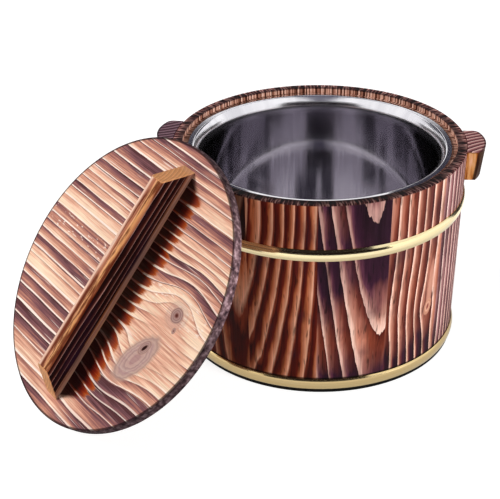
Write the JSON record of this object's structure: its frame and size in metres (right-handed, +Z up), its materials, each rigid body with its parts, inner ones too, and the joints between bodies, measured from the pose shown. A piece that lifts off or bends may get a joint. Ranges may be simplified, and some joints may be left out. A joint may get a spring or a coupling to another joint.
{
  "type": "sushi rice tub",
  "caption": "Round tapered wooden rice tub of staves in brass hoops, with a lift-out steel liner, side lugs and a flat round plank lid with a bar handle leaning on its rim.",
  "frame": {"origin": "on the tub's axis, in the plane of the stave feet it stands on", "axes": "+Z up along the tub's axis; +X towards the right lug; the lid leans on the rim at the front left, between -X and -Y"},
  "size_m": [0.4178, 0.3628, 0.2083],
  "materials": {
    "burnt_cedar_wall": "burnt, brushed and oiled",
    "burnt_cedar_lug": "burnt, brushed and oiled",
    "burnt_cedar_lid": "lightly burnt, brushed and oiled",
    "burnt_cedar_handle": "burnt, brushed and oiled",
    "plain_cedar": "planed",
    "bamboo": "plain",
    "polished_brass": "polished",
    "steel_liner": "polished lip, brushed wall and floor",
    "screw_steel": "plain"
  },
  "bodies": {
    "tub": {"stave_01": "burnt_cedar_wall", "stave_02": "burnt_cedar_wall", "stave_03": "burnt_cedar_wall", "stave_04": "burnt_cedar_wall", "stave_05": "burnt_cedar_wall", "stave_06": "burnt_cedar_wall", "stave_07": "burnt_cedar_wall", "stave_08": "burnt_cedar_wall", "stave_09": "burnt_cedar_wall", "stave_10": "burnt_cedar_wall", "stave_11": "burnt_cedar_wall", "stave_12": "burnt_cedar_wall", "stave_13": "burnt_cedar_wall", "stave_pins": "bamboo", "bottom_plank_1": "plain_cedar", "bottom_plank_2": "plain_cedar", "bottom_plank_3": "plain_cedar", "bottom_dowels": "bamboo", "upper_hoop": "polished_brass", "lower_hoop": "polished_brass", "right_lug": "burnt_cedar_lug", "left_lug": "burnt_cedar_lug", "lug_dowels": "bamboo"},
    "liner": {"liner": "steel_liner"},
    "lid": {"lid_plank_1": "burnt_cedar_lid", "lid_plank_2": "burnt_cedar_lid", "lid_plank_3": "burnt_cedar_lid", "lid_plank_4": "burnt_cedar_lid", "lid_dowels": "bamboo", "lid_handle": "burnt_cedar_handle", "handle_screws": "screw_steel"}
  },
  "joints": [
    {"name": "liner_lift", "type": "slide", "parent": "tub", "child": "liner", "axis": [0, 0, 1], "range_m": [0, 0.15]},
    {"name": "lid_lift", "type": "slide", "parent": "tub", "child": "lid", "axis": [0, 0, 1], "range_m": [0, 0.2]}
  ]
}
